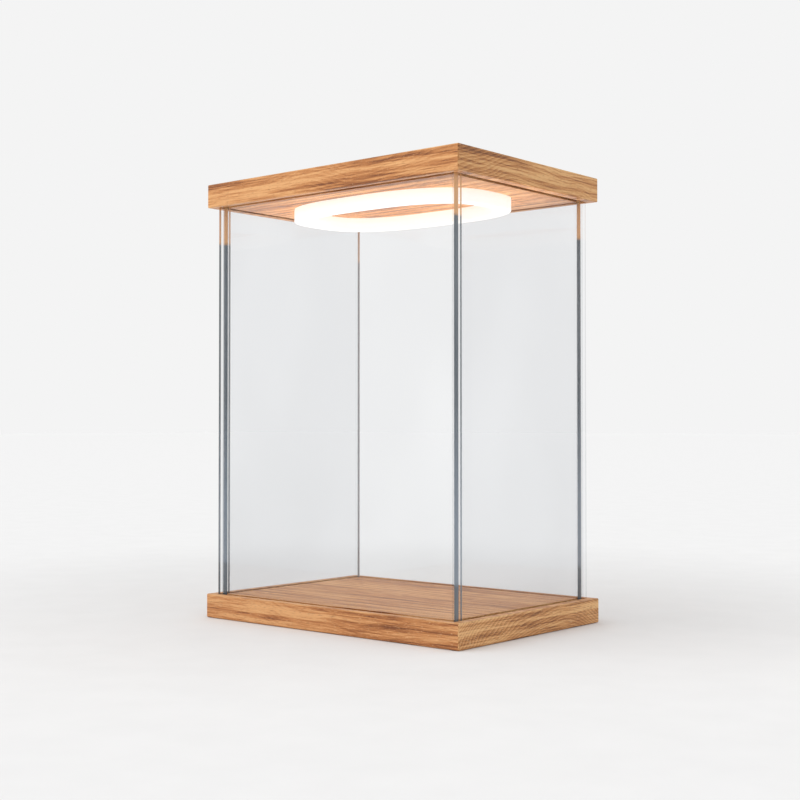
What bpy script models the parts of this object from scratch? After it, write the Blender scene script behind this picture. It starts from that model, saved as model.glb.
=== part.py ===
"""Upright display case: wooden base, four clear walls, and a wooden lid that carries an oval ring lamp.

Metres, +Z up. The origin is the middle of the base's underside. The long sides run along X, and the
lid's charging socket and switch face +Y, the rear.
"""

import math

import bmesh
import bpy
from mathutils import Vector

# Whole case
CASE_LENGTH = 0.165
CASE_DEPTH = 0.115
CASE_HEIGHT = 0.224
BASE_THICKNESS = 0.012
LID_THICKNESS = 0.012
BOARD_ARRIS = 0.0004
FIT_GAP = 0.0003

# Clear walls and the grooves that they stand in
WALL_THICKNESS = 0.003
WALL_INSET_X = 0.005
WALL_INSET_Y = 0.0035
WALL_ARRIS = 0.0002
GROOVE_DEPTH = 0.003

# Ring lamp: a hoop that hangs from a groove in the lid and follows the walls' inner faces
LAMP_END_MARGIN = 0.0145
LAMP_SIDE_MARGIN = 0.015
LAMP_BAND = 0.008
LAMP_DROP = 0.0064
OVAL_POWER = 2.8
RECESS_GAP = 0.0003
DIFFUSER_WALL = 0.0012
DIFFUSER_FLOOR = 0.0015
DIFFUSER_EDGE = 0.0009
DIFFUSER_GRIP = 0.0008
TRAY_THICKNESS = 0.001
LED_BOARD_THICKNESS = 0.001
LED_COUNT = 20
LED_SIZE = (0.0035, 0.0028, 0.0007)

# Lamp screws: each stands midway between two LEDs, counted in steps from LED to LED
LAMP_SCREW_STEPS = (2, 8, 12, 18)
LAMP_SCREW_HEAD_R = 0.0018
LAMP_SCREW_HEAD_H = 0.0011
LAMP_SCREW_R = 0.0009
LAMP_SCREW_LENGTH = 0.008

# Battery and driver, slid into the lid from its rear edge
CHAMBER_WEB = 0.0014
CHAMBER_AIR = 0.0004
DRIVER_WIDTH = 0.028
DRIVER_THICKNESS = 0.0008
CHAMBER_SIDE_GAP = 0.0006
BATTERY_WIDTH = 0.026
BATTERY_LENGTH = 0.022
BATTERY_THICKNESS = 0.0042
BATTERY_GAP = 0.0006
BATTERY_ARRIS = 0.0006
LEAD_ROOM = 0.005
LEAD_RADIUS = 0.0005
LEAD_SPACING = 0.003
LEAD_EDGE = 0.003
LEAD_HOLE_GAP = 0.0008
LAMP_LEAD_X = -0.007
BATTERY_LEAD_X = 0.006

# Rear plate with the socket and the switch
PLATE_THICKNESS = 0.001
PLATE_RECESS = 0.0022
PLATE_CORNER = 0.0012
PLATE_END = 0.0023
PLATE_LAP = 0.0005
SOCKET_X = 0.0065
SOCKET_SIZE = (0.00894, 0.0032, 0.0073)
SOCKET_WALL = 0.0003
SOCKET_BACK = 0.0006
SOCKET_SETBACK = 0.0003
TONGUE_SIZE = (0.0066, 0.0007, 0.0045)
SWITCH_X = -0.0065
SWITCH_WIDTH = 0.006
SWITCH_LENGTH = 0.0035
BUTTON_R = 0.0011
BUTTON_LAP = 0.0002
BUTTON_FLANGE = 0.0004
BUTTON_STEM_R = 0.0008
BUTTON_TRAVEL = 0.0006
BUTTON_PROUD = 0.0007
PLATE_SCREW_R = 0.0008
PLATE_SCREW_WEB = 0.001
PLATE_SCREW_HEAD_R = 0.0015
PLATE_SCREW_HEAD_H = 0.0006
PLATE_SCREW_LENGTH = 0.006
PLATE_SCREW_SINK = 0.0005

ARC_STEPS = 6
OVAL_STEPS = 80
ROUND_SEGMENTS = 24
SMOOTH_ANGLE = math.radians(35)
OVERCUT = 0.001
FACING_REAR = (-math.pi / 2, 0.0, 0.0)

# Places that follow from the sizes above
LID_UNDERSIDE = CASE_HEIGHT - LID_THICKNESS
WALL_X = CASE_LENGTH / 2 - WALL_INSET_X
WALL_Y = CASE_DEPTH / 2 - WALL_INSET_Y
INNER_X = WALL_X - WALL_THICKNESS
INNER_Y = WALL_Y - WALL_THICKNESS
LAMP_X = INNER_X - LAMP_END_MARGIN
LAMP_Y = INNER_Y - LAMP_SIDE_MARGIN
HOLE_X = LAMP_X - LAMP_BAND
HOLE_Y = LAMP_Y - LAMP_BAND
BAND_X = (LAMP_X + HOLE_X) / 2
BAND_Y = (LAMP_Y + HOLE_Y) / 2
REAR = CASE_DEPTH / 2
TRAY_UNDER = DIFFUSER_GRIP + FIT_GAP
TRAY_TOP = TRAY_UNDER + TRAY_THICKNESS
RECESS_DEPTH = TRAY_TOP + FIT_GAP
LED_BOARD_TOP = TRAY_UNDER - FIT_GAP
LED_BOARD_UNDER = LED_BOARD_TOP - LED_BOARD_THICKNESS
LED_MIDDLE = LED_BOARD_UNDER - FIT_GAP - LED_SIZE[2] / 2
CHAMBER_FLOOR = GROOVE_DEPTH + CHAMBER_WEB
DRIVER_UNDER = CHAMBER_FLOOR + FIT_GAP
DRIVER_TOP = DRIVER_UNDER + DRIVER_THICKNESS
PORT_Z = DRIVER_TOP + FIT_GAP + SOCKET_SIZE[1] / 2
FLANGE_R = BUTTON_R + FIT_GAP + BUTTON_LAP
BUTTON_Z = DRIVER_TOP + FIT_GAP + FLANGE_R
BATTERY_TOP = DRIVER_UNDER + BATTERY_THICKNESS
CHAMBER_TOP = max(DRIVER_TOP + FIT_GAP + SOCKET_SIZE[1], BUTTON_Z + FLANGE_R, BATTERY_TOP) + CHAMBER_AIR
CHAMBER_X = max(DRIVER_WIDTH, BATTERY_WIDTH) / 2 + CHAMBER_SIDE_GAP
DRIVER_REAR = REAR - PLATE_RECESS - FIT_GAP
DRIVER_FRONT = BAND_Y - LEAD_EDGE
BATTERY_REAR = DRIVER_FRONT - LEAD_ROOM
BATTERY_FRONT = BATTERY_REAR - BATTERY_LENGTH
CHAMBER_FRONT = BATTERY_FRONT - BATTERY_GAP
PLATE_INNER = REAR - PLATE_RECESS + FIT_GAP
PLATE_OUTER = PLATE_INNER + PLATE_THICKNESS
PLATE_Z = (CHAMBER_FLOOR + CHAMBER_TOP) / 2
PLATE_SCREW_X = CHAMBER_X + PLATE_SCREW_WEB + PLATE_SCREW_R
PLATE_HALF = (PLATE_SCREW_X + PLATE_END, (CHAMBER_TOP - CHAMBER_FLOOR) / 2 + PLATE_LAP)


def clear_scene():
    for old in list(bpy.data.objects):
        bpy.data.objects.remove(old, do_unlink=True)


def make_material(name, colour, roughness, metallic=0.0):
    material = bpy.data.materials.new(name)
    material.use_nodes = True
    shader = material.node_tree.nodes["Principled BSDF"]
    shader.inputs["Base Color"].default_value = (*colour, 1.0)
    shader.inputs["Roughness"].default_value = roughness
    shader.inputs["Metallic"].default_value = metallic
    return material


def make_materials():
    return {
        "wood": make_material("wood", (0.52, 0.24, 0.09), 0.5),
        "acrylic": make_material("acrylic", (0.86, 0.9, 0.92), 0.04),
        "tray": make_material("tray", (0.78, 0.78, 0.77), 0.4, 0.9),
        "opal": make_material("opal", (0.96, 0.95, 0.92), 0.5),
        "circuit": make_material("circuit", (0.85, 0.86, 0.84), 0.4),
        "driver": make_material("driver", (0.05, 0.25, 0.1), 0.4),
        "phosphor": make_material("phosphor", (0.95, 0.8, 0.3), 0.4),
        "steel": make_material("steel", (0.6, 0.6, 0.6), 0.3, 1.0),
        "foil": make_material("foil", (0.7, 0.71, 0.72), 0.35, 0.9),
        "black": make_material("black", (0.03, 0.03, 0.03), 0.45),
        "red_lead": make_material("red_lead", (0.5, 0.03, 0.02), 0.4),
        "black_lead": make_material("black_lead", (0.02, 0.02, 0.02), 0.4),
    }


def empty(name, location, parent=None):
    frame = bpy.data.objects.new(name, None)
    frame.location = location
    frame.parent = parent
    bpy.context.collection.objects.link(frame)
    return frame


def add_object(name, bm, parent, location=(0, 0, 0), rotation=(0, 0, 0), smooth=False):
    """Turns a bmesh into an object whose faces point outwards."""
    bmesh.ops.recalc_face_normals(bm, faces=bm.faces)
    if bm.calc_volume(signed=True) < 0:
        bmesh.ops.reverse_faces(bm, faces=bm.faces)
    mesh = bpy.data.meshes.new(name)
    bm.to_mesh(mesh)
    bm.free()
    if smooth:
        mesh.shade_smooth()
        mesh.set_sharp_from_angle(angle=SMOOTH_ANGLE)
    piece = bpy.data.objects.new(name, mesh)
    piece.location = location
    piece.rotation_euler = rotation
    piece.parent = parent
    bpy.context.collection.objects.link(piece)
    return piece


def oval(half_x, half_y, z):
    """A squared-off oval at height z, anticlockwise from +X."""
    loop = []
    for step in range(OVAL_STEPS):
        angle = 2 * math.pi * step / OVAL_STEPS
        across, along = math.cos(angle), math.sin(angle)
        x = half_x * math.copysign(abs(across) ** (2 / OVAL_POWER), across)
        y = half_y * math.copysign(abs(along) ** (2 / OVAL_POWER), along)
        loop.append(Vector((x, y, z)))
    return loop


def oval_ring(section):
    """A closed ring from the section's corners, each a pair of half sizes and a height."""
    return loft([oval(*size, z) for size, z in section], closed=True)


def grown(size, gap):
    return [half + gap for half in size]


def rounded(half_x, half_y, radius, z, steps=ARC_STEPS):
    """A rounded rectangle at height z, anticlockwise, with the same number of points whatever its size."""
    loop = []
    for sign_x, sign_y, start in ((1, 1, 0), (-1, 1, 90), (-1, -1, 180), (1, -1, 270)):
        for step in range(steps + 1):
            angle = math.radians(start + 90 * step / steps)
            x = sign_x * (half_x - radius) + radius * math.cos(angle)
            y = sign_y * (half_y - radius) + radius * math.sin(angle)
            loop.append(Vector((x, y, z)))
    return loop


def rectangle(half_x, half_y, z):
    corners = ((1, 1), (-1, 1), (-1, -1), (1, -1))
    return [Vector((sx * half_x, sy * half_y, z)) for sx, sy in corners]


def loft(loops, closed=False):
    """Skins loops of equal length. Open lofts get a cap at each end, closed ones join last to first."""
    bm = bmesh.new()
    rings = [[bm.verts.new(point) for point in loop] for loop in loops]
    pairs = list(zip(rings, rings[1:]))
    if closed:
        pairs.append((rings[-1], rings[0]))
    else:
        bm.faces.new(rings[0])
        bm.faces.new(rings[-1])
    for lower, upper in pairs:
        count = len(lower)
        for i in range(count):
            j = (i + 1) % count
            bm.faces.new((lower[i], lower[j], upper[j], upper[i]))
    return bm


def block(low, high):
    """A box from its lowest to its highest corner."""
    bm = bmesh.new()
    bmesh.ops.create_cube(bm, size=1.0)
    low, high = Vector(low), Vector(high)
    for vert in bm.verts:
        vert.co = Vector(low[i] + (vert.co[i] + 0.5) * (high[i] - low[i]) for i in range(3))
    return bm


def drum(radius, low, high):
    """A round bar along Z."""
    bm = bmesh.new()
    bmesh.ops.create_cone(
        bm, cap_ends=True, segments=ROUND_SEGMENTS, radius1=radius, radius2=radius, depth=high - low
    )
    bmesh.ops.translate(bm, verts=bm.verts, vec=(0, 0, (low + high) / 2))
    return bm


def turned(profile):
    """A solid of revolution about Z from (radius, height) points that start and end on the axis."""
    bm = bmesh.new()
    verts = [bm.verts.new((radius, 0, height)) for radius, height in profile]
    edges = [bm.edges.new(pair) for pair in zip(verts, verts[1:])]
    bmesh.ops.spin(
        bm, geom=verts + edges, cent=(0, 0, 0), axis=(0, 0, 1), angle=2 * math.pi,
        steps=ROUND_SEGMENTS, use_merge=True,
    )
    bmesh.ops.remove_doubles(bm, verts=bm.verts, dist=1e-6)
    return bm


def finish(piece, material, arris=0.0):
    piece.data.materials.append(material)
    if arris:
        bevel = piece.modifiers.new("arris", "BEVEL")
        bevel.width = arris
        bevel.segments = 1
        bevel.limit_method = "ANGLE"
    return piece


def cut(piece, name, bm, location=(0, 0, 0), rotation=(0, 0, 0)):
    """Takes a cutter, placed in the frame that the piece is in, away from the piece."""
    cutter = add_object("cut_" + name, bm, piece.parent, location, rotation)
    cutter.hide_render = True
    cutter.display_type = "WIRE"
    boolean = piece.modifiers.new(name, "BOOLEAN")
    boolean.operation = "DIFFERENCE"
    boolean.solver = "EXACT"
    boolean.object = cutter


def wall_groove(low, high):
    """The groove that all four walls stand in, as a cutter."""
    outer = (WALL_X + FIT_GAP, WALL_Y + FIT_GAP)
    inner = (INNER_X - FIT_GAP, INNER_Y - FIT_GAP)
    loops = [
        rectangle(*outer, low),
        rectangle(*outer, high),
        rectangle(*inner, high),
        rectangle(*inner, low),
    ]
    return loft(loops, closed=True)


def make_base(materials, frame):
    half = (CASE_LENGTH / 2, CASE_DEPTH / 2)
    board = add_object(
        "base_board", block((-half[0], -half[1], 0), (half[0], half[1], BASE_THICKNESS)), frame
    )
    finish(board, materials["wood"], BOARD_ARRIS)
    floor = BASE_THICKNESS - GROOVE_DEPTH
    cut(board, "base_groove", wall_groove(floor, BASE_THICKNESS + OVERCUT))


def make_walls(materials, frame):
    """Front and rear sheets run the full width, and the side sheets are bonded between them."""
    bottom = FIT_GAP
    top = LID_UNDERSIDE + GROOVE_DEPTH - FIT_GAP - (BASE_THICKNESS - GROOVE_DEPTH)
    side_y = INNER_Y - FIT_GAP
    sheets = {
        "wall_front": ((-WALL_X, -WALL_Y), (WALL_X, -INNER_Y)),
        "wall_rear": ((-WALL_X, INNER_Y), (WALL_X, WALL_Y)),
        "wall_left": ((-WALL_X, -side_y), (-INNER_X, side_y)),
        "wall_right": ((INNER_X, -side_y), (WALL_X, side_y)),
    }
    for name, (low, high) in sheets.items():
        sheet = add_object(name, block((*low, bottom), (*high, top)), frame)
        finish(sheet, materials["acrylic"], WALL_ARRIS)


def band_places(steps):
    """Places along the middle of the lamp's band with their headings, for each number of LED steps."""
    path = oval(BAND_X, BAND_Y, 0.0)
    path.append(path[0])
    lengths = [(b - a).length for a, b in zip(path, path[1:])]
    pitch = sum(lengths) / LED_COUNT
    places = []
    for step in steps:
        left = step * pitch
        stretch = 0
        while left > lengths[stretch]:
            left -= lengths[stretch]
            stretch += 1
        start, end = path[stretch], path[stretch + 1]
        heading = math.atan2(end.y - start.y, end.x - start.x)
        places.append((start.lerp(end, left / lengths[stretch]), heading))
    return places


def lead_slot(low, high):
    """A slot for the lamp's two leads, as a cutter."""
    reach = LEAD_SPACING / 2 + LEAD_RADIUS + LEAD_HOLE_GAP
    width = LEAD_RADIUS + LEAD_HOLE_GAP
    return loft([rounded(reach, width, width, z) for z in (low, high)])


def make_lid_board(materials, frame):
    """The lid's board, in the lid's frame: z = 0 is its underside."""
    half = (CASE_LENGTH / 2, CASE_DEPTH / 2)
    board = add_object("lid_board", block((-half[0], -half[1], 0), (half[0], half[1], LID_THICKNESS)), frame)
    finish(board, materials["wood"], BOARD_ARRIS)
    cut(board, "lid_groove", wall_groove(-OVERCUT, GROOVE_DEPTH))

    outer = grown((LAMP_X, LAMP_Y), RECESS_GAP)
    inner = grown((HOLE_X, HOLE_Y), -RECESS_GAP)
    recess = [(outer, -OVERCUT), (outer, RECESS_DEPTH), (inner, RECESS_DEPTH), (inner, -OVERCUT)]
    cut(board, "lamp_recess", oval_ring(recess))

    chamber_low = (-CHAMBER_X, CHAMBER_FRONT, CHAMBER_FLOOR)
    cut(board, "chamber", block(chamber_low, (CHAMBER_X, REAR + OVERCUT, CHAMBER_TOP)))
    slot = lead_slot(RECESS_DEPTH - OVERCUT, CHAMBER_FLOOR + OVERCUT)
    cut(board, "lead_slot", slot, (LAMP_LEAD_X, BAND_Y, 0))
    depth = PLATE_RECESS + OVERCUT
    plate = grown((*PLATE_HALF, PLATE_CORNER), FIT_GAP)
    plate_recess = loft([rounded(*plate, z) for z in (0, depth)])
    cut(board, "plate_recess", plate_recess, (0, REAR - PLATE_RECESS, PLATE_Z), FACING_REAR)

    pilot_end = LED_BOARD_UNDER + LAMP_SCREW_LENGTH
    for number, (place, _) in enumerate(band_places(LAMP_SCREW_STEPS), 1):
        pilot = drum(LAMP_SCREW_R + FIT_GAP, RECESS_DEPTH - OVERCUT, pilot_end)
        cut(board, f"lamp_pilot_{number}", pilot, place)
    for number, px in enumerate((-PLATE_SCREW_X, PLATE_SCREW_X), 1):
        pilot = drum(PLATE_SCREW_R + FIT_GAP, -PLATE_SCREW_LENGTH, OVERCUT)
        cut(board, f"plate_pilot_{number}", pilot, (px, REAR - PLATE_RECESS, PLATE_Z), FACING_REAR)


def make_flat_ring(name, material, frame, outer, inner, under, top):
    """A flat oval ring with a hole for each lamp screw."""
    section = [(outer, under), (outer, top), (inner, top), (inner, under)]
    ring = add_object(name, oval_ring(section), frame, smooth=True)
    finish(ring, material)
    for number, (place, _) in enumerate(band_places(LAMP_SCREW_STEPS), 1):
        hole = drum(LAMP_SCREW_R + FIT_GAP, under - OVERCUT, top + OVERCUT)
        cut(ring, f"{name}_hole_{number}", hole, place)
    return ring


def make_tray(materials, frame):
    """The flat metal ring at the bottom of the lid's oval groove, which carries the LED board."""
    outer, inner = (LAMP_X, LAMP_Y), (HOLE_X, HOLE_Y)
    tray = make_flat_ring("lamp_tray", materials["tray"], frame, outer, inner, TRAY_UNDER, TRAY_TOP)
    slot = lead_slot(TRAY_UNDER - OVERCUT, TRAY_TOP + OVERCUT)
    cut(tray, "tray_lead_slot", slot, (LAMP_LEAD_X, BAND_Y, 0))


def make_led_board(materials, frame):
    """It lies between the diffuser's two walls."""
    edge = DIFFUSER_WALL + FIT_GAP
    outer = grown((LAMP_X, LAMP_Y), -edge)
    inner = grown((HOLE_X, HOLE_Y), edge)
    make_flat_ring("led_board", materials["circuit"], frame, outer, inner, LED_BOARD_UNDER, LED_BOARD_TOP)


def make_leds(materials, frame):
    half = [size / 2 for size in LED_SIZE]
    low = [-size for size in half]
    steps = [number + 0.5 for number in range(LED_COUNT)]
    for number, (place, heading) in enumerate(band_places(steps), 1):
        spot = (place.x, place.y, LED_MIDDLE)
        led = add_object(f"led_{number:02d}", block(low, half), frame, spot, (0, 0, heading))
        finish(led, materials["phosphor"])


def make_diffuser(materials, frame):
    """The opal hoop: a channel, open upwards, whose walls stand in the lid's oval groove."""
    outer, inner = (LAMP_X, LAMP_Y), (HOLE_X, HOLE_Y)
    outer_in = grown(outer, -DIFFUSER_WALL)
    inner_in = grown(inner, DIFFUSER_WALL)
    bottom = -LAMP_DROP
    floor = bottom + DIFFUSER_FLOOR
    section = [
        (outer, DIFFUSER_GRIP), (outer, bottom + DIFFUSER_EDGE),
        (grown(outer, -DIFFUSER_EDGE), bottom), (grown(inner, DIFFUSER_EDGE), bottom),
        (inner, bottom + DIFFUSER_EDGE), (inner, DIFFUSER_GRIP),
        (inner_in, DIFFUSER_GRIP), (inner_in, floor), (outer_in, floor), (outer_in, DIFFUSER_GRIP),
    ]
    hoop = add_object("lamp_diffuser", oval_ring(section), frame, smooth=True)
    finish(hoop, materials["opal"])


def screw_profile(head_r, head_h, shank_r, length):
    """Head below z = 0, shank and point above it."""
    return [
        (0.0, -head_h), (head_r * 0.6, -head_h * 0.92), (head_r * 0.92, -head_h * 0.55), (head_r, 0.0),
        (shank_r, 0.0), (shank_r, length - 2 * shank_r), (0.0, length),
    ]


def make_lamp_screws(materials, frame):
    """Their heads bear on the LED board, and they hold it and the tray up against the lid."""
    profile = screw_profile(LAMP_SCREW_HEAD_R, LAMP_SCREW_HEAD_H, LAMP_SCREW_R, LAMP_SCREW_LENGTH - FIT_GAP)
    seat = LED_BOARD_UNDER - FIT_GAP
    for number, (place, _) in enumerate(band_places(LAMP_SCREW_STEPS), 1):
        spot = (place.x, place.y, seat)
        screw = add_object(f"lamp_screw_{number}", turned(profile), frame, spot, smooth=True)
        finish(screw, materials["steel"])


def make_battery(materials, frame):
    low = (-BATTERY_WIDTH / 2, BATTERY_FRONT, DRIVER_UNDER)
    high = (BATTERY_WIDTH / 2, BATTERY_REAR, BATTERY_TOP)
    cell = add_object("battery", block(low, high), frame)
    finish(cell, materials["foil"], BATTERY_ARRIS)


def make_driver(materials, frame):
    low = (-DRIVER_WIDTH / 2, DRIVER_FRONT, DRIVER_UNDER)
    high = (DRIVER_WIDTH / 2, DRIVER_REAR, DRIVER_TOP)
    board = add_object("driver_board", block(low, high), frame)
    finish(board, materials["driver"])


def make_socket(materials, frame):
    """The charging socket: a flat-sided tube, closed behind, with a tongue in it."""
    half = (SOCKET_SIZE[0] / 2, SOCKET_SIZE[1] / 2)
    bore = [size - SOCKET_WALL for size in half]
    mouth = PLATE_OUTER - SOCKET_SETBACK
    length = SOCKET_SIZE[2]
    loops = [
        rounded(*half, half[1], 0, 6),
        rounded(*half, half[1], length, 6),
        rounded(*bore, bore[1], length, 6),
        rounded(*bore, bore[1], SOCKET_BACK, 6),
    ]
    place = (SOCKET_X, mouth - length, PORT_Z)
    shell = add_object("inlet_shell", loft(loops), frame, place, FACING_REAR, smooth=True)
    finish(shell, materials["steel"])
    tongue_low = SOCKET_BACK + FIT_GAP
    reach = [size / 2 for size in TONGUE_SIZE[:2]]
    tongue = add_object(
        "inlet_tongue",
        block((-reach[0], -reach[1], tongue_low), (*reach, tongue_low + TONGUE_SIZE[2])),
        frame, place, FACING_REAR,
    )
    finish(tongue, materials["black"])


def make_switch(materials, frame):
    """Switch body on the driver board; its button slides along Y in a frame of its own."""
    half = (SWITCH_WIDTH / 2, FLANGE_R)
    flange_back = PLATE_INNER - FIT_GAP - BUTTON_FLANGE
    body_front = flange_back - BUTTON_TRAVEL - FIT_GAP
    stem = BUTTON_TRAVEL + 2 * FIT_GAP + BUTTON_STEM_R
    bore_end = SWITCH_LENGTH - stem - BUTTON_TRAVEL
    place = (SWITCH_X, body_front - SWITCH_LENGTH, BUTTON_Z)
    solid = block((-half[0], -half[1], 0), (*half, SWITCH_LENGTH))
    body = add_object("switch_body", solid, frame, place, FACING_REAR)
    finish(body, materials["black"])
    bore = drum(BUTTON_STEM_R + FIT_GAP, bore_end, SWITCH_LENGTH + OVERCUT)
    cut(body, "switch_bore", bore, place, FACING_REAR)
    button_frame = empty("switch_frame", (SWITCH_X, flange_back, BUTTON_Z), frame)
    front = PLATE_OUTER + BUTTON_PROUD - flange_back
    profile = [
        (0.0, -stem), (BUTTON_STEM_R, -stem), (BUTTON_STEM_R, 0.0), (FLANGE_R, 0.0),
        (FLANGE_R, BUTTON_FLANGE), (BUTTON_R, BUTTON_FLANGE), (BUTTON_R, front - BUTTON_R / 5),
        (BUTTON_R * 0.8, front), (0.0, front),
    ]
    button = add_object("switch_button", turned(profile), button_frame, rotation=FACING_REAR, smooth=True)
    finish(button, materials["black"])


def make_rear_plate(materials, frame):
    loops = [rounded(*PLATE_HALF, PLATE_CORNER, z) for z in (0, PLATE_THICKNESS)]
    place = (0, PLATE_INNER, PLATE_Z)
    plate = add_object("rear_plate", loft(loops), frame, place, FACING_REAR, smooth=True)
    finish(plate, materials["black"])
    ends = (-OVERCUT, PLATE_THICKNESS + OVERCUT)

    mouth = [size / 2 + FIT_GAP for size in SOCKET_SIZE[:2]]
    slot = [rounded(*mouth, mouth[1], z, 6) for z in ends]
    cut(plate, "socket_slot", loft(slot), (SOCKET_X, PLATE_INNER, PORT_Z), FACING_REAR)
    cut(plate, "button_hole", drum(BUTTON_R + FIT_GAP, *ends), (SWITCH_X, PLATE_INNER, BUTTON_Z), FACING_REAR)

    seat = PLATE_THICKNESS - PLATE_SCREW_SINK
    profile = screw_profile(PLATE_SCREW_HEAD_R, PLATE_SCREW_HEAD_H, PLATE_SCREW_R, PLATE_SCREW_LENGTH)
    for number, px in enumerate((-PLATE_SCREW_X, PLATE_SCREW_X), 1):
        spot = (px, PLATE_INNER, PLATE_Z)
        cut(plate, f"screw_hole_{number}", drum(PLATE_SCREW_R + FIT_GAP, *ends), spot, FACING_REAR)
        sink = drum(PLATE_SCREW_HEAD_R + FIT_GAP, seat, ends[1])
        cut(plate, f"screw_sink_{number}", sink, spot, FACING_REAR)
        head_seat = PLATE_INNER + seat + FIT_GAP
        screw = add_object(
            f"plate_screw_{number}", turned(profile), frame, (px, head_seat, PLATE_Z),
            (math.pi / 2, 0, 0), smooth=True,
        )
        finish(screw, materials["steel"])


def smooth_route(points, samples=6):
    """Points on a Catmull-Rom curve through the route's own points."""
    ends = [points[0] * 2 - points[1], *points, points[-1] * 2 - points[-2]]
    route = []
    for a, b, c, d in zip(ends, ends[1:], ends[2:], ends[3:]):
        for step in range(samples):
            t = step / samples
            bend = 2 * a - 5 * b + 4 * c - d
            twist = 3 * b - a - 3 * c + d
            route.append((2 * b + (c - a) * t + bend * t**2 + twist * t**3) / 2)
    route.append(points[-1])
    return route


def make_lead(name, points, material, frame):
    curve = bpy.data.curves.new(name, "CURVE")
    curve.dimensions = "3D"
    curve.bevel_depth = LEAD_RADIUS
    curve.bevel_resolution = 2
    curve.use_fill_caps = True
    route = smooth_route([Vector(point) for point in points])
    spline = curve.splines.new("POLY")
    spline.points.add(len(route) - 1)
    for spot, point in zip(spline.points, route):
        spot.co = (*point, 1.0)
    lead = bpy.data.objects.new(name, curve)
    lead.parent = frame
    curve.materials.append(material)
    bpy.context.collection.objects.link(lead)


def make_leads(materials, frame):
    """Two leads from the battery to the driver, two from the driver down to the lamp's board."""
    under = DRIVER_UNDER - FIT_GAP
    low = LED_BOARD_TOP + FIT_GAP
    straight = 2 * LEAD_RADIUS
    cell_y = BATTERY_REAR + FIT_GAP
    board_y = DRIVER_FRONT - FIT_GAP
    tab_z = (DRIVER_UNDER + BATTERY_TOP) / 2
    board_z = DRIVER_UNDER + LEAD_RADIUS
    for colour, side in (("red", -0.5), ("black", 0.5)):
        sleeve = materials[f"{colour}_lead"]
        x = BATTERY_LEAD_X + side * LEAD_SPACING
        battery_route = [
            (x, cell_y, tab_z), (x, cell_y + straight, tab_z),
            (x, board_y - straight, board_z), (x, board_y, board_z),
        ]
        make_lead(f"battery_lead_{colour}", battery_route, sleeve, frame)
        x = LAMP_LEAD_X + side * LEAD_SPACING
        lamp_route = [
            (x, BAND_Y, under), (x, BAND_Y, under - straight),
            (x, BAND_Y, low + straight), (x, BAND_Y, low),
        ]
        make_lead(f"lamp_lead_{colour}", lamp_route, sleeve, frame)


def main():
    clear_scene()
    materials = make_materials()
    base_frame = empty("base_frame", (0, 0, 0))
    walls_frame = empty("walls_frame", (0, 0, BASE_THICKNESS - GROOVE_DEPTH), base_frame)
    lid_frame = empty("lid_frame", (0, 0, LID_UNDERSIDE - BASE_THICKNESS + GROOVE_DEPTH), walls_frame)
    make_base(materials, base_frame)
    make_walls(materials, walls_frame)
    make_lid_board(materials, lid_frame)
    make_tray(materials, lid_frame)
    make_led_board(materials, lid_frame)
    make_leds(materials, lid_frame)
    make_diffuser(materials, lid_frame)
    make_lamp_screws(materials, lid_frame)
    make_battery(materials, lid_frame)
    make_driver(materials, lid_frame)
    make_socket(materials, lid_frame)
    make_switch(materials, lid_frame)
    make_rear_plate(materials, lid_frame)
    make_leads(materials, lid_frame)


main()
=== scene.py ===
"""Looks of the lit display case: oiled wood boards, clear acrylic sheets and a glowing hoop lamp.

Metres, +Z up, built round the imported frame. Every piece sits at the origin with its place in its mesh.
"""

import math

import bpy
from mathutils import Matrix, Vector


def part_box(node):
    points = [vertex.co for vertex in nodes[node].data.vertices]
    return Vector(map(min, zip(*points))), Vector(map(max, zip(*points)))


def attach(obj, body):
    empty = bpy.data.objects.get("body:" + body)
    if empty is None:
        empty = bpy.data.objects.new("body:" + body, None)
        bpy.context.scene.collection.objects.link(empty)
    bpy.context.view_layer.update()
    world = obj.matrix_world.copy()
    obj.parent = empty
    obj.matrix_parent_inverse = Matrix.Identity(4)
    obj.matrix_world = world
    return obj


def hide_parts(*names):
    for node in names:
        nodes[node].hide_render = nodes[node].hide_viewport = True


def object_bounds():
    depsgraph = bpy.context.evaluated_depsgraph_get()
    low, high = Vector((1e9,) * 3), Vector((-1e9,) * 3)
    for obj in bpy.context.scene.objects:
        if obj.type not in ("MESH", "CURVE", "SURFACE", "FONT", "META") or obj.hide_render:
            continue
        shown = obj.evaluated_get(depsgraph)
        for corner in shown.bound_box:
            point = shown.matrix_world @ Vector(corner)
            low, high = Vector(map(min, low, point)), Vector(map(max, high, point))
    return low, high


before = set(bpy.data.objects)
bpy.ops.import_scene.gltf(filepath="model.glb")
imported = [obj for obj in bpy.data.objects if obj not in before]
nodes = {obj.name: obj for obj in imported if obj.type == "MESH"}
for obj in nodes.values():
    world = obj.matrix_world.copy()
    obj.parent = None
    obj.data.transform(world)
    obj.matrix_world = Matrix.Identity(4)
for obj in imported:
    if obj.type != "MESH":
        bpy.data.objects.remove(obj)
cad_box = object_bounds()

BASE_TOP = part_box("base_board")[1].z
LID_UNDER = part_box("lid_board")[0].z
CASE_LOW, CASE_HIGH = cad_box
LAMP_LOW, LAMP_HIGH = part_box("lamp_diffuser")
WALL_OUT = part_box("wall_front")[1].x
WALL_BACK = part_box("wall_rear")[1].y
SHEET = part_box("wall_front")[1].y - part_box("wall_front")[0].y
FRONT_JOINT = SHEET - WALL_BACK
OVAL_POWER = 2.8


# ---------------------------------------------------------------- node helpers

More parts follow.
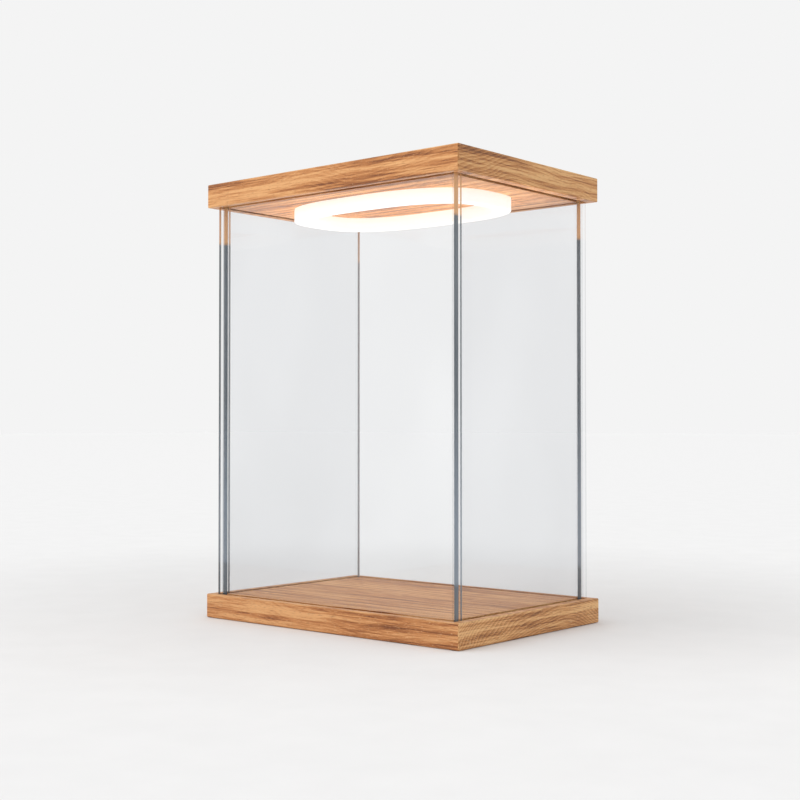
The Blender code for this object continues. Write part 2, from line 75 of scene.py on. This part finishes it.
class Recipe:
    """A material's node tree, with short calls for the nodes that the finishes here share."""

    def __init__(self, name):
        self.material = bpy.data.materials.new(name)
        self.material.use_nodes = True
        self.tree = self.material.node_tree
        self.shader = self.tree.nodes["Principled BSDF"]
        self.output = self.tree.nodes["Material Output"]

    def add(self, kind, settings=None, **inputs):
        node = self.tree.nodes.new(kind)
        for key, value in (settings or {}).items():
            setattr(node, key, value)
        for key, value in inputs.items():
            self.feed(node.inputs[key.replace("_", " ")], value)
        return node

    def feed(self, socket, value):
        if isinstance(value, bpy.types.NodeSocket):
            self.tree.links.new(value, socket)
        else:
            socket.default_value = value

    def place(self):
        return self.add("ShaderNodeTexCoord").outputs["Object"]

    def facing(self):
        return self.add("ShaderNodeTexCoord").outputs["Normal"]

    def sized(self, vector, scale, move=(0, 0, 0)):
        mapping = self.add("ShaderNodeMapping", None, Vector=vector, Scale=scale, Location=move)
        return mapping.outputs["Vector"]

    def noise(self, vector, scale=1.0, detail=3.0, roughness=0.55):
        texture = self.add(
            "ShaderNodeTexNoise", None, Vector=vector, Scale=scale, Detail=detail, Roughness=roughness
        )
        return texture.outputs["Fac"]

    def sum(self, operation, first, second=0.0, third=0.0):
        node = self.tree.nodes.new("ShaderNodeMath")
        node.operation = operation
        for socket, value in zip(node.inputs, (first, second, third)):
            self.feed(socket, value)
        return node.outputs[0]

    def spread(self, value, low, high, to_low=0.0, to_high=1.0, smooth=False):
        node = self.add("ShaderNodeMapRange", {"clamp": True}, Value=value)
        if smooth:
            node.interpolation_type = "SMOOTHSTEP"
        ends = (("From Min", low), ("From Max", high), ("To Min", to_low), ("To Max", to_high))
        for name, number in ends:
            node.inputs[name].default_value = number
        return node.outputs["Result"]

    def blend(self, amount, first, second, mode="MIX"):
        node = self.tree.nodes.new("ShaderNodeMix")
        node.data_type = "RGBA"
        node.blend_type = mode
        self.feed(node.inputs["Factor"], amount)
        self.feed(node.inputs[6], first)
        self.feed(node.inputs[7], second)
        return node.outputs[2]

    def ramp(self, value, stops):
        node = self.add("ShaderNodeValToRGB", None, Fac=value)
        elements = node.color_ramp.elements
        while len(elements) < len(stops):
            elements.new(0.5)
        for element, (position, colour) in zip(elements, stops):
            element.position = position
            element.color = (*colour, 1.0)
        return node.outputs["Color"]

    def split(self, vector):
        return self.add("ShaderNodeSeparateXYZ", None, Vector=vector).outputs

    def length(self, vector):
        node = self.add("ShaderNodeVectorMath", {"operation": "LENGTH"})
        self.feed(node.inputs[0], vector)
        return node.outputs["Value"]

    def tinted(self, colour, tint):
        return self.blend(1.0, colour, tint, "MULTIPLY")

    def mixed(self, amount, first, second):
        """Mixes two shaders into the material's surface, or into a further mix."""
        node = self.add("ShaderNodeMixShader")
        self.feed(node.inputs[0], amount)
        self.feed(node.inputs[1], first)
        self.feed(node.inputs[2], second)
        return node.outputs[0]

    def relief(self, height, distance):
        bump = self.add("ShaderNodeBump", None, Height=height, Distance=distance, Strength=RELIEF_STRENGTH)
        self.feed(self.shader.inputs["Normal"], bump.outputs["Normal"])

    def finish(self, **inputs):
        for key, value in inputs.items():
            self.feed(self.shader.inputs[key.replace("_", " ")], value)
        return self.material


def rgb(colour):
    return (*colour, 1.0)


def grey(level):
    return (level, level, level)


# ---------------------------------------------------------------- finishes

RELIEF_STRENGTH = 0.5
FACES_END = 0.6
FACES_UP = 0.5

# Growth rings: their spacing, the heart they circle, and how far noise and the knot bend them.
RING_PITCH = 0.0015
RING_WANDER = 0.018
RING_RIPPLE = 0.0022
RING_SWELL = 0.006
LATE_WOOD = 0.80
PITH = (0.0, 0.02, -0.085)
KNOT_SIZE = (0.026, 0.05, 0.010)
KNOT_REACH = 1.9

PORE_DEPTH = 0.00005
PALE_FLECK = (0.92, 0.66, 0.38)
DARK_PORE = (0.25, 0.085, 0.028)
UPWARD_TINT = (0.94, 1.00, 1.00)
WOOD_STOPS = (
    (0.28, (0.21, 0.072, 0.025)),
    (0.41, (0.44, 0.178, 0.060)),
    (0.53, (0.62, 0.285, 0.108)),
    (0.70, (0.82, 0.470, 0.220)),
)


def board_grain(r, shift, knot):
    """Fields that both boards share: fibres, streaks, growth rings, pores, flecks and a knot's shade."""
    place = r.place()
    facing = r.split(r.facing())
    end_face = r.sum("GREATER_THAN", r.sum("ABSOLUTE", facing["X"]), FACES_END)
    parts = r.split(place)
    swapped = r.add("ShaderNodeCombineXYZ", None, X=parts["Y"], Y=parts["X"], Z=parts["Z"]).outputs["Vector"]
    along = r.add("ShaderNodeMix", {"data_type": "VECTOR"}, Factor=end_face)
    r.feed(along.inputs[4], place)
    r.feed(along.inputs[5], swapped)
    grain = along.outputs[1]

    to_knot = tuple(-k / size for k, size in zip(knot, KNOT_SIZE))
    near_knot = r.sized(place, tuple(1 / size for size in KNOT_SIZE), to_knot)
    swell = r.spread(r.length(near_knot), 0.0, KNOT_REACH, 1.0, 0.0, smooth=True)

    wander = r.noise(r.sized(grain, (14, 30, 30), shift), detail=2.0)
    ripple = r.noise(r.sized(grain, (30, 130, 130), shift), detail=2.0)
    from_pith = r.sized(place, (0.0, 1.0, 1.0), tuple(-p for p in PITH))
    bent = r.sum("MULTIPLY_ADD", wander, RING_WANDER, r.length(from_pith))
    bent = r.sum("MULTIPLY_ADD", ripple, RING_RIPPLE, bent)
    bent = r.sum("MULTIPLY_ADD", swell, RING_SWELL, bent)
    phase = r.sum("FRACT", r.sum("DIVIDE", bent, RING_PITCH))
    late = r.spread(phase, 0.0, LATE_WOOD, 0.0, 1.0)
    early = r.spread(phase, LATE_WOOD, 1.0, 1.0, 0.0, smooth=True)

    pore = r.noise(r.sized(grain, (330, 3400, 3400), shift), detail=2.0, roughness=0.5)
    fleck = r.noise(r.sized(grain, (700, 2600, 2600), shift), detail=2.0, roughness=0.6)
    return {
        "place": place,
        "facing": facing,
        "end_face": end_face,
        "swell": swell,
        "ring": r.sum("MULTIPLY", late, early),
        "fibre": r.noise(r.sized(grain, (50, 1500, 1500), shift), detail=4.0, roughness=0.65),
        "streak": r.noise(r.sized(grain, (10, 330, 330), shift), detail=4.0, roughness=0.6),
        "broad": r.noise(r.sized(grain, (7, 60, 60), shift), detail=3.0),
        "pore": r.spread(pore, 0.58, 0.70),
        "fleck": r.spread(fleck, 0.60, 0.74),
    }


def board_wood(name, shift, knot, tint, end_light_and_shade):
    """Oiled hardwood whose rings wave across the short faces and run as fine streaks along the long ones."""
    r = Recipe(name)
    f = board_grain(r, shift, knot)
    value = r.sum("MULTIPLY_ADD", f["fibre"], 0.90, -0.70)
    value = r.sum("MULTIPLY_ADD", f["streak"], 1.15, value)
    value = r.sum("MULTIPLY_ADD", f["broad"], 0.50, value)
    ring_depth = r.spread(f["end_face"], 0.0, 1.0, -0.09, -0.17)
    value = r.sum("MULTIPLY_ADD", f["ring"], ring_depth, value)
    value = r.sum("MULTIPLY_ADD", f["swell"], -0.15, value)
    # Painted light and shade on the end faces: a slight lift here, then a tint that lightens the base's ends
    # and darkens the lid's.
    value = r.sum("MULTIPLY_ADD", f["end_face"], 0.02, value)
    colour = r.ramp(value, WOOD_STOPS)
    colour = r.blend(r.sum("MULTIPLY", f["fleck"], 0.55), colour, rgb(PALE_FLECK))
    colour = r.blend(r.sum("MULTIPLY", f["pore"], 0.50), colour, rgb(DARK_PORE))
    colour = r.blend(f["end_face"], colour, r.tinted(colour, rgb(end_light_and_shade)))
    upward = r.sum("GREATER_THAN", f["facing"]["Z"], FACES_UP)
    colour = r.blend(upward, colour, r.tinted(colour, rgb(UPWARD_TINT)))
    colour = r.tinted(colour, rgb(tint))

    height = r.sum("MULTIPLY_ADD", f["pore"], -0.8, r.sum("MULTIPLY", f["ring"], 0.35))
    r.relief(height, PORE_DEPTH)
    roughness = r.spread(f["fibre"], 0.3, 0.7, 0.46, 0.60)
    r.shader.inputs["Specular IOR Level"].default_value = 0.35
    r.shader.inputs["Coat Roughness"].default_value = 0.07
    r.finish(Base_Color=colour, Roughness=roughness)
    return r, f, colour


GLOW_START = 0.95
GLOW_END = 1.70
GLOW_LEVEL = 0.90
GLOW_TINT = (1.0, 0.92, 0.74)
UNDERSIDE_COAT = 0.25


def light_underside(r, f, colour):
    """The lid's underside: a thin gloss, and the lamp's warm light, fading outwards from the hoop."""
    parts = r.split(f["place"])
    across = r.sum("POWER", r.sum("ABSOLUTE", r.sum("DIVIDE", parts["X"], LAMP_HIGH.x)), OVAL_POWER)
    along = r.sum("POWER", r.sum("ABSOLUTE", r.sum("DIVIDE", parts["Y"], LAMP_HIGH.y)), OVAL_POWER)
    spread = r.sum("POWER", r.sum("ADD", across, along), 1 / OVAL_POWER)
    reach = r.spread(spread, GLOW_START, GLOW_END, GLOW_LEVEL, 0.0)
    under = r.sum("LESS_THAN", f["facing"]["Z"], -FACES_UP)
    warm = r.tinted(colour, rgb(GLOW_TINT))
    light = r.blend(r.sum("MULTIPLY", reach, under), rgb(grey(0)), warm)
    r.shader.inputs["Emission Strength"].default_value = 1.0
    r.finish(Emission_Color=light, Coat_Weight=r.sum("MULTIPLY", under, UNDERSIDE_COAT))


# The sheets' clouds, which are painted reflection patches, their painted shade at the foot, their gloss face
# on and at a glancing look.
PATCH_DIM = 0.988
FOOT_SHADE = 0.985
FACE_GLOSS = 0.02
GLANCING_GLOSS = 0.48

# The front bond's painted reflection in a side sheet: how far behind the joint it stands and how wide it is.
BOND_IMAGE_BEHIND = 0.0017
BOND_IMAGE_HALF = 0.0006
BOND_IMAGE_SOLID = 0.88


def clear_sheet(name, tint, painted_bond_reflection=False):
    """Polished acrylic seen face on: mostly clear, with faint clouds of painted reflection, painted shade at
    its foot, and a thin reflection.

    When asked for, a painted reflection of the front bond shows as a thin dark upright just behind the joint.
    """
    r = Recipe(name)
    place = r.place()
    smear = r.noise(place, scale=9.0, detail=2.0)
    polish = r.spread(smear, 0.35, 0.7, 0.0, 0.03)
    # Painted reflection: lighter patches on the sheet, dimmer between them.
    reflection_patch = r.noise(r.sized(place, (13, 13, 8)), detail=1.0)
    patch_dimmed = rgb(tuple(part * PATCH_DIM for part in tint))
    colour = r.blend(r.spread(reflection_patch, 0.40, 0.62, smooth=True), patch_dimmed, rgb(tint))
    # Painted shade: the sheet darker towards its foot.
    foot = r.spread(r.split(place)["Z"], 0.02, 0.12, FOOT_SHADE, 1.0, smooth=True)
    clear = r.add("ShaderNodeBsdfTransparent", None, Color=r.tinted(colour, foot))
    gloss = r.add("ShaderNodeBsdfGlossy", None, Color=rgb(grey(1)), Roughness=polish)
    graze = r.add("ShaderNodeLayerWeight", None, Blend=0.5).outputs["Facing"]
    sheen = r.sum("MULTIPLY_ADD", r.sum("POWER", graze, 5.0), GLANCING_GLOSS, FACE_GLOSS)
    surface = r.mixed(sheen, clear.outputs[0], gloss.outputs[0])
    # Painted reflection: the front bond drawn as a thin dark upright on the side sheet.
    if painted_bond_reflection:
        behind = r.sum("SUBTRACT", r.split(place)["Y"], FRONT_JOINT)
        off = r.sum("ABSOLUTE", r.sum("SUBTRACT", behind, BOND_IMAGE_BEHIND))
        near, far = BOND_IMAGE_HALF * 0.7, BOND_IMAGE_HALF * 1.3
        r.finish(Base_Color=edge_reflection_colours(r), Roughness=0.2)
        surface = r.mixed(r.spread(off, near, far, BOND_IMAGE_SOLID, 0.0), surface, r.shader.outputs[0])
    else:
        r.tree.nodes.remove(r.shader)
    r.feed(r.output.inputs["Surface"], surface)
    return r.material


# A sheet's edge, its colours painted reflections: dark slate, bluer low down, and the lit lid's wood at its
# top, by share of the case's height.
DARK_SLATE = (0.09, 0.11, 0.13)
BLUE_SLATE = (0.20, 0.24, 0.29)
LIT_WOOD_REFLECTION = (0.66, 0.34, 0.13)
EDGE_STOPS = (
    (0.12, DARK_SLATE),
    (0.13, BLUE_SLATE),
    (0.25, BLUE_SLATE),
    (0.50, DARK_SLATE),
    (0.86, DARK_SLATE),
    (0.865, LIT_WOOD_REFLECTION),
)
PALE_SLATE = (0.34, 0.37, 0.40)
CLEAR_EDGE = (0.985, 0.988, 0.99)
EDGE_BLUR = 0.06


def edge_reflection_colours(r):
    """What a sheet's edge shows, as painted reflection: slate along its height with pale streaks, the lit
    lid's wood at its top.
    """
    z = r.split(r.place())["Z"]
    level = r.spread(z, CASE_LOW.z, CASE_HIGH.z)
    colour = r.ramp(level, EDGE_STOPS)
    streak = r.noise(r.sized(r.place(), (1100, 1100, 14)), detail=2.0)
    return r.blend(r.spread(streak, 0.42, 0.72, 0.0, 0.30), colour, rgb(PALE_SLATE))


def sheet_edge(name, inner, outer, share=0.5):
    """A polished edge in the painted reflection colours: how solid its inner and outer parts look, and the
    inner part's share of it.
    """
    r = Recipe(name)
    parts = r.split(r.place())
    side = r.sum("GREATER_THAN", r.sum("ABSOLUTE", r.split(r.facing())["X"]), 0.5)
    out_y = r.sum("SUBTRACT", r.sum("ABSOLUTE", parts["Y"]), WALL_BACK - SHEET)
    out_x = r.sum("SUBTRACT", r.sum("ABSOLUTE", parts["X"]), WALL_OUT - SHEET)
    out = r.add("ShaderNodeMix", {"data_type": "FLOAT"}, Factor=side, A=out_x, B=out_y).outputs[0]
    solid = r.spread(out, SHEET * (share - EDGE_BLUR), SHEET * (share + EDGE_BLUR), inner, outer)
    r.finish(Base_Color=edge_reflection_colours(r), Roughness=0.15)
    clear = r.add("ShaderNodeBsdfTransparent", None, Color=rgb(CLEAR_EDGE))
    r.feed(r.output.inputs["Surface"], r.mixed(solid, clear.outputs[0], r.shader.outputs[0]))
    return r.material


CEMENT = (0.55, 0.56, 0.58)


def bond_bead(name, pale, solid=1.0):
    """Set cement along an inner corner, mixed with the edges' painted reflection colours; pale is the cement's
    own colour's share, solid how little shows through.
    """
    r = Recipe(name)
    bubble = r.noise(r.sized(r.place(), (900, 900, 120)), detail=2.0)
    colour = r.blend(pale, edge_reflection_colours(r), rgb(CEMENT))
    alpha = r.spread(bubble, 0.3, 0.7, solid * 0.8, solid)
    return r.finish(Base_Color=colour, Alpha=alpha, Roughness=r.spread(bubble, 0.3, 0.7, 0.1, 0.3))


OPAL = (0.45, 0.44, 0.42)
OPAL_LIGHT = ((0.3, (0.985, 0.955, 0.900)), (0.7, (0.985, 0.970, 0.935)))
OPAL_WARM = (1.0, 0.90, 0.76)
OPAL_WARM_BAND = 0.0035
OPAL_STRENGTH = 0.85


def opal_glow():
    """The lamp's opal hoop, lit from inside, a little uneven and warmer towards the lid."""
    r = Recipe("opal_glow")
    place = r.place()
    colour = r.ramp(r.noise(place, scale=60.0, detail=2.0), OPAL_LIGHT)
    rise = r.spread(r.split(place)["Z"], LID_UNDER - OPAL_WARM_BAND, LID_UNDER, 0.0, 1.0)
    colour = r.blend(rise, colour, rgb(OPAL_WARM))
    return r.finish(
        Base_Color=rgb(OPAL), Roughness=0.4, Emission_Color=colour, Emission_Strength=OPAL_STRENGTH
    )


GRIT_HEIGHT = 0.00003


def moulded_plastic(name, roughness, dark, pale):
    """Finely gritted plastic, speckled between two close shades."""
    r = Recipe(name)
    grit = r.noise(r.place(), scale=2600.0, detail=2.0)
    r.relief(grit, GRIT_HEIGHT)
    return r.finish(Base_Color=r.ramp(grit, ((0.3, dark), (0.7, pale))), Roughness=roughness)


def bright_steel():
    """Steel with a fine brushed grain along Y."""
    r = Recipe("bright_steel")
    brush = r.noise(r.sized(r.place(), (400, 9000, 400)), detail=3.0)
    roughness = r.spread(brush, 0.3, 0.7, 0.22, 0.38)
    return r.finish(Base_Color=rgb((0.62, 0.62, 0.63)), Metallic=1.0, Roughness=roughness)


def plain_finish(name, colour, roughness, scale, metallic=0.0):
    """One colour, darker in grains of the given fineness."""
    r = Recipe(name)
    grain = r.noise(r.place(), scale=scale, detail=2.0)
    low = tuple(c * 0.85 for c in colour)
    shade = r.ramp(grain, ((0.3, low), (0.7, colour)))
    return r.finish(Base_Color=shade, Roughness=roughness, Metallic=metallic)


def coat(name, material):
    """Gives a carried-over node one material all over."""
    node = nodes[name]
    node.data.materials.clear()
    node.data.materials.append(material)


# ---------------------------------------------------------------- studio

FLOOR_SIZE = 30.0
FLOOR_DROP = 0.0002
FLOOR_DARK = 0.797
FLOOR_PALE = 0.815

# The soft shade on the floor round the case, centred a little behind it.
SHADE_MOVE = (0.09, -0.10, 0)
SHADE_NEAR = 0.10
SHADE_FAR = 0.38
SHADE_LEVEL = 0.90

SKY_LEVEL = 0.905
SUN_ENERGY = 0.87
SUN_ANGLE = 50
SUN_TURN = (38, 0, -35)


def studio():
    """A pale floor with a painted soft shade round the case, an even pale surround and one soft key light."""
    bpy.ops.object.select_all(action="DESELECT")
    bpy.ops.mesh.primitive_plane_add(size=FLOOR_SIZE, location=(0, 0, -FLOOR_DROP))
    floor = bpy.context.object
    floor.name = "studio_floor"
    r = Recipe("studio_floor")
    tooth = r.noise(r.place(), scale=40.0, detail=2.0)
    colour = r.ramp(tooth, ((0.3, grey(FLOOR_DARK)), (0.7, grey(FLOOR_PALE))))
    # Painted shade on the floor round the case.
    away = r.length(r.sized(r.place(), (1, 1, 1), SHADE_MOVE))
    shade = r.spread(away, SHADE_NEAR, SHADE_FAR, SHADE_LEVEL, 1.0, smooth=True)
    r.finish(Base_Color=r.tinted(colour, shade), Roughness=0.9)
    floor.data.materials.append(r.material)

    world = bpy.data.worlds.new("studio")
    world.use_nodes = True
    world.node_tree.nodes["Background"].inputs["Color"].default_value = rgb(grey(SKY_LEVEL))
    world.node_tree.nodes["Background"].inputs["Strength"].default_value = 1.0
    bpy.context.scene.world = world

    sun = bpy.data.lights.new("key", "SUN")
    sun.energy = SUN_ENERGY
    sun.angle = math.radians(SUN_ANGLE)
    key = bpy.data.objects.new("key", sun)
    key.rotation_euler = [math.radians(turn) for turn in SUN_TURN]
    bpy.context.collection.objects.link(key)


CAMERA_PLACE = (0.4480, -0.5286, 0.0991)
CAMERA_AZIMUTH = 40.283
CAMERA_RISE = 1.069
CAMERA_LENS = 60.92
SENSOR_WIDTH = 36.0


def camera():
    """A level-standing camera on the case's front right, turned up by about a degree."""
    data = bpy.data.cameras.new("camera")
    data.lens = CAMERA_LENS
    data.sensor_width = SENSOR_WIDTH
    data.clip_start = 0.01
    data.clip_end = 100.0
    view = bpy.data.objects.new("camera", data)
    view.location = CAMERA_PLACE
    view.rotation_euler = (math.radians(90 + CAMERA_RISE), 0, math.radians(CAMERA_AZIMUTH))
    bpy.context.collection.objects.link(view)
    bpy.context.scene.camera = view


# ---------------------------------------------------------------- pieces

def place_in_mesh(piece):
    """Moves the piece's place, turn and size into its mesh."""
    bpy.ops.object.transform_apply(location=True, rotation=True, scale=True)
    return piece


def use_modifier(piece, kind, **settings):
    """Adds a modifier and applies it."""
    modifier = piece.modifiers.new(kind.lower(), kind)
    for key, value in settings.items():
        setattr(modifier, key, value)
    bpy.ops.object.modifier_apply(modifier=modifier.name)


def slab(name, low, high):
    """A block between two corners, with its place in its mesh."""
    bpy.ops.object.select_all(action="DESELECT")
    bpy.ops.mesh.primitive_cube_add(size=1.0, location=(low + high) / 2)
    piece = bpy.context.object
    piece.name = name
    piece.scale = high - low
    return place_in_mesh(piece)


SHEET_ARRIS = 0.0002


def sheet(name, node, thin_axis, clear, low_end, high_end, cut):
    """One acrylic sheet with softened arrises: clear wide faces, a look for each end, cut top and bottom."""
    piece = slab(name, *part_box(node))
    use_modifier(piece, "BEVEL", width=SHEET_ARRIS, segments=2)
    for material in (clear, low_end, high_end, cut):
        piece.data.materials.append(material)
    long_axis = 1 - thin_axis
    for face in piece.data.polygons:
        if abs(face.normal[thin_axis]) > 0.95:
            face.material_index = 0
        elif abs(face.normal.z) > 0.6:
            face.material_index = 3
        else:
            face.material_index = 2 if face.center[long_axis] > 0 else 1
    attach(piece, "walls")
    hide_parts(node)


BEAD = 0.0008
BEAD_HOLLOW = 0.8
TOUCH = 0.00001


def corner_bead(name, side_x, side_y, material):
    """A bead of cement up one inner corner, hollowed towards the inside of the case."""
    corner_x = side_x * (WALL_OUT - SHEET)
    corner_y = side_y * (WALL_BACK - SHEET)
    xs = sorted((corner_x, corner_x - side_x * BEAD))
    ys = sorted((corner_y, corner_y - side_y * BEAD))
    low = Vector((xs[0], ys[0], BASE_TOP))
    high = Vector((xs[1], ys[1], LID_UNDER))
    piece = slab(name, low, high)
    inner = (corner_x - side_x * BEAD, corner_y - side_y * BEAD)
    bpy.ops.object.mode_set(mode="EDIT")
    bpy.ops.mesh.select_mode(type="EDGE")
    bpy.ops.mesh.select_all(action="DESELECT")
    bpy.ops.object.mode_set(mode="OBJECT")
    mesh = piece.data
    for edge in mesh.edges:
        ends = [mesh.vertices[i].co for i in edge.vertices]
        edge.select = all(math.dist(end.xy, inner) < TOUCH for end in ends)
    bpy.ops.object.mode_set(mode="EDIT")
    bpy.ops.mesh.bevel(offset=BEAD * BEAD_HOLLOW, segments=4, profile=0.25)
    bpy.ops.object.mode_set(mode="OBJECT")
    piece.data.materials.append(material)
    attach(piece, "walls")


HOOP_POINTS = 176
HOOP_BAND = 0.008
HOOP_WALL = 0.0012
HOOP_FLOOR = 0.0015
HOOP_EDGE = 0.0009
HOOP_SEAM = 0.00002


def lamp_hoop(material):
    """The opal hoop: a squared-off oval channel, drawn round its section by extruding and resizing."""
    low, high = LAMP_LOW, LAMP_HIGH
    bpy.ops.object.select_all(action="DESELECT")
    bpy.ops.mesh.primitive_circle_add(vertices=HOOP_POINTS, radius=1.0, location=(0, 0, high.z))
    piece = bpy.context.object
    piece.name = "lamp_hoop"
    for vertex in piece.data.vertices:
        for axis, half in ((0, high.x), (1, high.y)):
            reach = abs(vertex.co[axis]) ** (2 / OVAL_POWER)
            vertex.co[axis] = half * math.copysign(reach, vertex.co[axis])
    place_in_mesh(piece)
    inner_wall = HOOP_BAND - HOOP_WALL
    floor = low.z + HOOP_FLOOR
    section = (
        (0.0, low.z), (HOOP_BAND, low.z), (HOOP_BAND, high.z), (inner_wall, high.z),
        (inner_wall, floor), (HOOP_WALL, floor), (HOOP_WALL, high.z), (0.0, high.z),
    )
    bpy.ops.object.mode_set(mode="EDIT")
    bpy.ops.mesh.select_all(action="SELECT")
    inset_now, z_now = 0.0, high.z
    for inset, z in section:
        bpy.ops.mesh.extrude_region_move(TRANSFORM_OT_translate={"value": (0, 0, z - z_now)})
        factor = [(half - inset) / (half - inset_now) for half in (high.x, high.y)]
        bpy.ops.transform.resize(value=(*factor, 1.0), center_override=(0, 0, z))
        inset_now, z_now = inset, z
    bpy.ops.mesh.select_all(action="SELECT")
    bpy.ops.mesh.remove_doubles(threshold=HOOP_SEAM)
    bpy.ops.mesh.normals_make_consistent(inside=False)
    bpy.ops.object.mode_set(mode="OBJECT")
    sharp = math.radians(50)
    use_modifier(piece, "BEVEL", width=HOOP_EDGE, segments=4, limit_method="ANGLE", angle_limit=sharp)
    bpy.ops.object.shade_smooth_by_angle(angle=math.radians(40))
    piece.data.materials.append(material)
    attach(piece, "lid")
    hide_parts("lamp_diffuser")


# ---------------------------------------------------------------- the case

def finish_boards():
    """The base's wood, and the lid's with the lamp's light on its underside; each board's end faces carry
    painted light and shade.
    """
    front = CASE_LOW.y
    base, _, _ = board_wood(
        "oiled_wood_base", (0.31, 0.12, 0.05), (0.028, front, 0.004), (0.90, 0.82, 0.74), (1.04, 1.19, 1.27)
    )
    lid, fields, colour = board_wood(
        "oiled_wood_lid", (1.73, 0.42, 0.27), (0.030, front, 0.219), (1.01, 0.93, 0.83), (0.86, 0.94, 0.96)
    )
    light_underside(lid, fields, colour)
    coat("base_board", base.material)
    coat("lid_board", lid.material)


def build_walls():
    """Four sheets, each with its ends' looks in painted reflection colours, the side ones tinted with painted
    shade, and a bead of cement up each inner corner.
    """
    clear_front = clear_sheet("clear_acrylic_front", (0.996, 0.998, 1.0))
    # Painted shade: the side sheets are tinted darker than the front and rear ones.
    shaded_clear_side = clear_sheet("clear_acrylic_side_shaded", (0.960, 0.963, 0.968), painted_bond_reflection=True)
    dark = sheet_edge("polished_edge", 0.96, 0.96)
    dark_outside = sheet_edge("edge_dark_outside", 0.04, 0.90, 0.50)
    dark_inside = sheet_edge("edge_dark_inside", 0.97, 0.05, 0.66)
    faint = sheet_edge("edge_faint_outside", 0.02, 0.22, 0.80)
    unseen = sheet_edge("bonded_edge", 0.02, 0.02)
    cut = sheet_edge("cut_edge", 0.40, 0.40)
    sheet("front_sheet", "wall_front", 1, clear_front, dark_outside, dark, cut)
    sheet("rear_sheet", "wall_rear", 1, clear_front, unseen, faint, cut)
    sheet("left_sheet", "wall_left", 0, shaded_clear_side, dark, unseen, cut)
    sheet("right_sheet", "wall_right", 0, shaded_clear_side, unseen, dark_inside, cut)
    grey_bead = bond_bead("grey_bond", 0.55)
    pale_bead = bond_bead("pale_bond", 0.05, solid=0.10)
    corner_bead("bond_rear_left", -1, 1, grey_bead)
    corner_bead("bond_rear_right", 1, 1, pale_bead)
    corner_bead("bond_front_left", -1, -1, pale_bead)
    corner_bead("bond_front_right", 1, -1, pale_bead)


def finish_fittings():
    """Metal, plastic and circuit finishes for the lamp's inner parts and the rear plate's fittings."""
    black = moulded_plastic("moulded_black", 0.5, (0.018, 0.018, 0.019), (0.032, 0.032, 0.034))
    button = moulded_plastic("button_grey", 0.3, (0.10, 0.10, 0.105), (0.14, 0.14, 0.145))
    steel = bright_steel()
    phosphor = plain_finish("phosphor", (0.92, 0.74, 0.25), 0.4, 1200)
    red = plain_finish("red_sleeve", (0.50, 0.03, 0.02), 0.4, 900)
    sleeve = plain_finish("black_sleeve", (0.02, 0.02, 0.02), 0.4, 900)
    for name in ("rear_plate", "switch_body", "inlet_tongue"):
        coat(name, black)
    coat("switch_button", button)
    coat("inlet_shell", steel)
    coat("lamp_tray", plain_finish("rolled_aluminium", (0.78, 0.78, 0.77), 0.4, 500, 0.9))
    coat("led_board", plain_finish("white_circuit", (0.80, 0.81, 0.79), 0.4, 800))
    coat("driver_board", plain_finish("green_circuit", (0.04, 0.22, 0.09), 0.35, 900))
    coat("battery", plain_finish("foil_pouch", (0.62, 0.63, 0.64), 0.35, 300, 0.9))
    for name in nodes:
        if name.startswith(("lamp_screw", "plate_screw")):
            coat(name, steel)
        elif name.startswith("led_") and name != "led_board":
            coat(name, phosphor)
        elif name.endswith("lead_red"):
            coat(name, red)
        elif name.endswith("lead_black"):
            coat(name, sleeve)


def main():
    camera()
    studio()
    finish_boards()
    build_walls()
    lamp_hoop(opal_glow())
    finish_fittings()
    bpy.context.scene.view_settings.view_transform = "Standard"


main()
